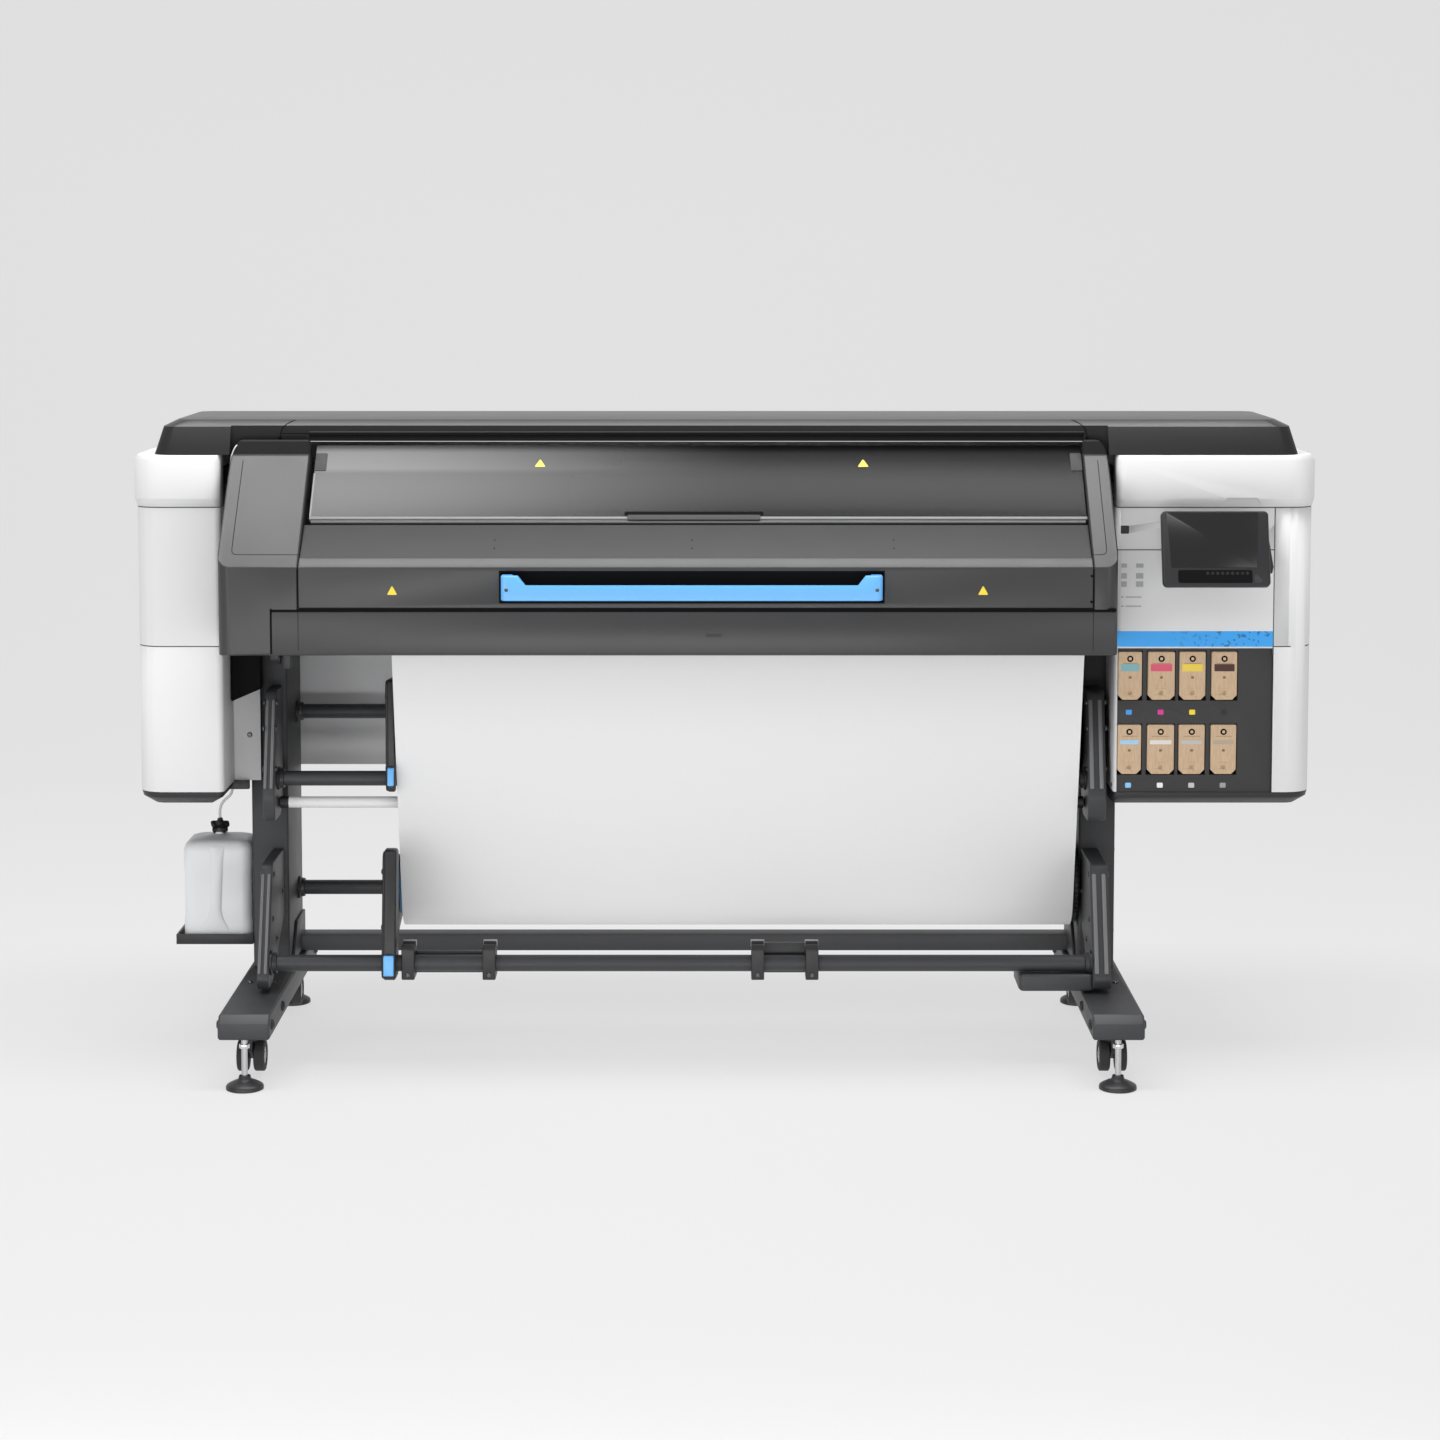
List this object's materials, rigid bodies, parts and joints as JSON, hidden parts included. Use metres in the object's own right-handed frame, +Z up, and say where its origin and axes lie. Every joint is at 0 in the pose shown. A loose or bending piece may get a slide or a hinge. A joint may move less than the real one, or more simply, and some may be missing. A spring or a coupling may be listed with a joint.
{
  "type": "wide-format roll-to-roll printer cutter",
  "caption": "Wide-format roll-to-roll printer with a carriage-mounted cross-cutter, hinged window and loading table, touchscreen, ink cartridges and a two-leg roll stand",
  "frame": {"origin": "on the floor under the middle of the whole machine's box", "axes": "+X to the operator's right, +Y to the rear, +Z up"},
  "size_m": [2.583, 0.852, 1.402],
  "materials": {
    "white_panel": "satin moulded panels, off-white",
    "dark_panel": "fine-textured charcoal covers",
    "black_plastic": "black moulded plastic",
    "powder_coat": "charcoal powder coat",
    "blue_plastic": "blue touch-point plastic",
    "zinc_steel": "bright zinc-plated steel",
    "grey_sheet": "light grey painted sheet",
    "tinted_window": "smoked clear window",
    "media": "white print media, matt",
    "cardboard": "kraft cardboard sleeve",
    "milky_plastic": "translucent natural polyethylene",
    "rubber": "black rubber",
    "white_tube": "white coated tube",
    "screen": "black glass touchscreen in a black frame"
  },
  "bodies": {
    "printer_frame": {"left_leg": "powder_coat", "right_leg": "powder_coat", "cross_beam": "powder_coat", "left_upper_arm": "powder_coat", "right_upper_arm": "powder_coat", "left_lower_arm": "powder_coat", "right_lower_arm": "powder_coat", "upper_front_rail": "powder_coat", "upper_rear_rail": "powder_coat", "lower_front_rail": "powder_coat", "lower_rear_rail": "powder_coat", "left_cabinet": "white_panel", "left_base": "black_plastic", "right_cabinet": "white_panel", "right_base": "black_plastic", "top_cover": "dark_panel", "rear_cover": "grey_sheet", "hood_frame": "dark_panel", "lower_apron": "dark_panel", "print_beam": "zinc_steel", "media_web": "media", "waste_bottle": "milky_plastic", "bottle_tray": "black_plastic", "bottle_hose": "milky_plastic"},
    "window": {"window": "tinted_window"},
    "loading_table": {"loading_table": "dark_panel", "front_handle": "blue_plastic"},
    "touchscreen": {"touchscreen": "screen"},
    "carriage": {"carriage": "black_plastic"},
    "cutter": {"cutter": "blue_plastic"},
    "drive_roller": {"drive_roller": "rubber"},
    "tension_bar": {"tension_bar": "white_tube"},
    "takeup_roll": {"takeup_roll": "media", "takeup_drive_hub": "black_plastic"},
    "takeup_hub_arm": {"takeup_hub_arm": "black_plastic"},
    "takeup_idle_hub": {"takeup_idle_hub": "blue_plastic"},
    "input_roll": {"input_roll": "media", "input_drive_hub": "black_plastic"},
    "input_hub_arm": {"input_hub_arm": "black_plastic"},
    "input_idle_hub": {"input_idle_hub": "blue_plastic"},
    "takeup_lock_lever": {"takeup_lock_lever": "blue_plastic"},
    "input_lock_lever": {"input_lock_lever": "blue_plastic"},
    "left_cradle": {"left_cradle": "black_plastic"},
    "right_cradle": {"right_cradle": "black_plastic"},
    "ink_cartridge_1": {"ink_cartridge_1": "cardboard"},
    "ink_cartridge_2": {"ink_cartridge_2": "cardboard"},
    "ink_cartridge_3": {"ink_cartridge_3": "cardboard"},
    "ink_cartridge_4": {"ink_cartridge_4": "cardboard"},
    "ink_cartridge_5": {"ink_cartridge_5": "cardboard"},
    "ink_cartridge_6": {"ink_cartridge_6": "cardboard"},
    "ink_cartridge_7": {"ink_cartridge_7": "cardboard"},
    "ink_cartridge_8": {"ink_cartridge_8": "cardboard"},
    "left_front_caster": {"left_front_caster": "black_plastic"},
    "left_front_levelling_foot": {"left_front_levelling_foot": "zinc_steel"},
    "left_rear_caster": {"left_rear_caster": "black_plastic"},
    "left_rear_levelling_foot": {"left_rear_levelling_foot": "zinc_steel"},
    "right_front_caster": {"right_front_caster": "black_plastic"},
    "right_front_levelling_foot": {"right_front_levelling_foot": "zinc_steel"},
    "right_rear_caster": {"right_rear_caster": "black_plastic"},
    "right_rear_levelling_foot": {"right_rear_levelling_foot": "zinc_steel"}
  },
  "joints": [
    {"name": "window_hinge", "type": "hinge", "parent": "printer_frame", "child": "window", "pos_m": [0, -0.048, 1.344], "axis": [-1, 0, 0], "range_deg": [0, 75]},
    {"name": "loading_table_hinge", "type": "hinge", "parent": "printer_frame", "child": "loading_table", "pos_m": [0, -0.304, 1.022], "axis": [1, 0, 0], "range_deg": [0, 90]},
    {"name": "touchscreen_tilt", "type": "hinge", "parent": "printer_frame", "child": "touchscreen", "pos_m": [1.056, -0.172, 1.118], "axis": [1, 0, 0], "range_deg": [-10, 30]},
    {"name": "carriage_slide", "type": "slide", "parent": "printer_frame", "child": "carriage", "axis": [-1, 0, 0], "range_m": [0, 2.12]},
    {"name": "cutter_drop", "type": "slide", "parent": "carriage", "child": "cutter", "axis": [0, 0, -1], "range_m": [0, 0.005], "stiffness_N_per_m": 300, "springref_m": -0.004},
    {"name": "drive_roller_turn", "type": "hinge", "parent": "printer_frame", "child": "drive_roller", "pos_m": [0, 0.21, 1.03], "axis": [1, 0, 0], "continuous": true},
    {"name": "tension_bar_turn", "type": "hinge", "parent": "printer_frame", "child": "tension_bar", "pos_m": [0, 0, 0.547], "axis": [1, 0, 0], "continuous": true},
    {"name": "takeup_roll_turn", "type": "hinge", "parent": "printer_frame", "child": "takeup_roll", "pos_m": [0, 0.115, 0.345], "axis": [1, 0, 0], "continuous": true},
    {"name": "takeup_hub_arm_slide", "type": "slide", "parent": "printer_frame", "child": "takeup_hub_arm", "axis": [-1, 0, 0], "range_m": [0, 0.2]},
    {"name": "takeup_idle_hub_turn", "type": "hinge", "parent": "takeup_hub_arm", "child": "takeup_idle_hub", "pos_m": [-0.734, 0.115, 0.345], "axis": [1, 0, 0], "continuous": true},
    {"name": "input_roll_turn", "type": "hinge", "parent": "printer_frame", "child": "input_roll", "pos_m": [0, 0.1, 0.686], "axis": [1, 0, 0], "continuous": true},
    {"name": "input_hub_arm_slide", "type": "slide", "parent": "printer_frame", "child": "input_hub_arm", "axis": [-1, 0, 0], "range_m": [0, 0.2]},
    {"name": "input_idle_hub_turn", "type": "hinge", "parent": "input_hub_arm", "child": "input_idle_hub", "pos_m": [-0.734, 0.1, 0.686], "axis": [1, 0, 0], "continuous": true},
    {"name": "takeup_lock_lever_hinge", "type": "hinge", "parent": "takeup_hub_arm", "child": "takeup_lock_lever", "pos_m": [-0.721, -0.219, 0.243], "axis": [-1, 0, 0], "range_deg": [0, 60]},
    {"name": "input_lock_lever_hinge", "type": "hinge", "parent": "input_hub_arm", "child": "input_lock_lever", "pos_m": [-0.736, -0.0955, 0.634], "axis": [-1, 0, 0], "range_deg": [0, 60]},
    {"name": "left_cradle_slide", "type": "slide", "parent": "printer_frame", "child": "left_cradle", "axis": [1, 0, 0], "range_m": [0, 0.3]},
    {"name": "right_cradle_slide", "type": "slide", "parent": "printer_frame", "child": "right_cradle", "axis": [1, 0, 0], "range_m": [-0.2, 0.35]},
    {"name": "ink_cartridge_1_slide", "type": "slide", "parent": "printer_frame", "child": "ink_cartridge_1", "axis": [0, -1, 0], "range_m": [0, 0.15]},
    {"name": "ink_cartridge_2_slide", "type": "slide", "parent": "printer_frame", "child": "ink_cartridge_2", "axis": [0, -1, 0], "range_m": [0, 0.15]},
    {"name": "ink_cartridge_3_slide", "type": "slide", "parent": "printer_frame", "child": "ink_cartridge_3", "axis": [0, -1, 0], "range_m": [0, 0.15]},
    {"name": "ink_cartridge_4_slide", "type": "slide", "parent": "printer_frame", "child": "ink_cartridge_4", "axis": [0, -1, 0], "range_m": [0, 0.15]},
    {"name": "ink_cartridge_5_slide", "type": "slide", "parent": "printer_frame", "child": "ink_cartridge_5", "axis": [0, -1, 0], "range_m": [0, 0.15]},
    {"name": "ink_cartridge_6_slide", "type": "slide", "parent": "printer_frame", "child": "ink_cartridge_6", "axis": [0, -1, 0], "range_m": [0, 0.15]},
    {"name": "ink_cartridge_7_slide", "type": "slide", "parent": "printer_frame", "child": "ink_cartridge_7", "axis": [0, -1, 0], "range_m": [0, 0.15]},
    {"name": "ink_cartridge_8_slide", "type": "slide", "parent": "printer_frame", "child": "ink_cartridge_8", "axis": [0, -1, 0], "range_m": [0, 0.15]},
    {"name": "left_front_caster_swivel", "type": "hinge", "parent": "printer_frame", "child": "left_front_caster", "pos_m": [-1.0167, -0.29, 0.107], "axis": [0, 0, 1], "continuous": true},
    {"name": "left_front_foot_screw", "type": "hinge", "parent": "printer_frame", "child": "left_front_levelling_foot", "pos_m": [-1.0167, -0.386, 0], "axis": [0, 0, 1], "continuous": true},
    {"name": "left_rear_caster_swivel", "type": "hinge", "parent": "printer_frame", "child": "left_rear_caster", "pos_m": [-1.0167, 0.31, 0.107], "axis": [0, 0, 1], "continuous": true},
    {"name": "left_rear_foot_screw", "type": "hinge", "parent": "printer_frame", "child": "left_rear_levelling_foot", "pos_m": [-1.0167, 0.386, 0], "axis": [0, 0, 1], "continuous": true},
    {"name": "right_front_caster_swivel", "type": "hinge", "parent": "printer_frame", "child": "right_front_caster", "pos_m": [0.8329, -0.29, 0.107], "axis": [0, 0, 1], "continuous": true},
    {"name": "right_front_foot_screw", "type": "hinge", "parent": "printer_frame", "child": "right_front_levelling_foot", "pos_m": [0.8329, -0.386, 0], "axis": [0, 0, 1], "continuous": true},
    {"name": "right_rear_caster_swivel", "type": "hinge", "parent": "printer_frame", "child": "right_rear_caster", "pos_m": [0.8329, 0.31, 0.107], "axis": [0, 0, 1], "continuous": true},
    {"name": "right_rear_foot_screw", "type": "hinge", "parent": "printer_frame", "child": "right_rear_levelling_foot", "pos_m": [0.8329, 0.386, 0], "axis": [0, 0, 1], "continuous": true}
  ],
  "couplings": [
    {"joint": "takeup_idle_hub_turn", "follows": "takeup_roll_turn", "ratio": 1},
    {"joint": "input_idle_hub_turn", "follows": "input_roll_turn", "ratio": 1}
  ]
}
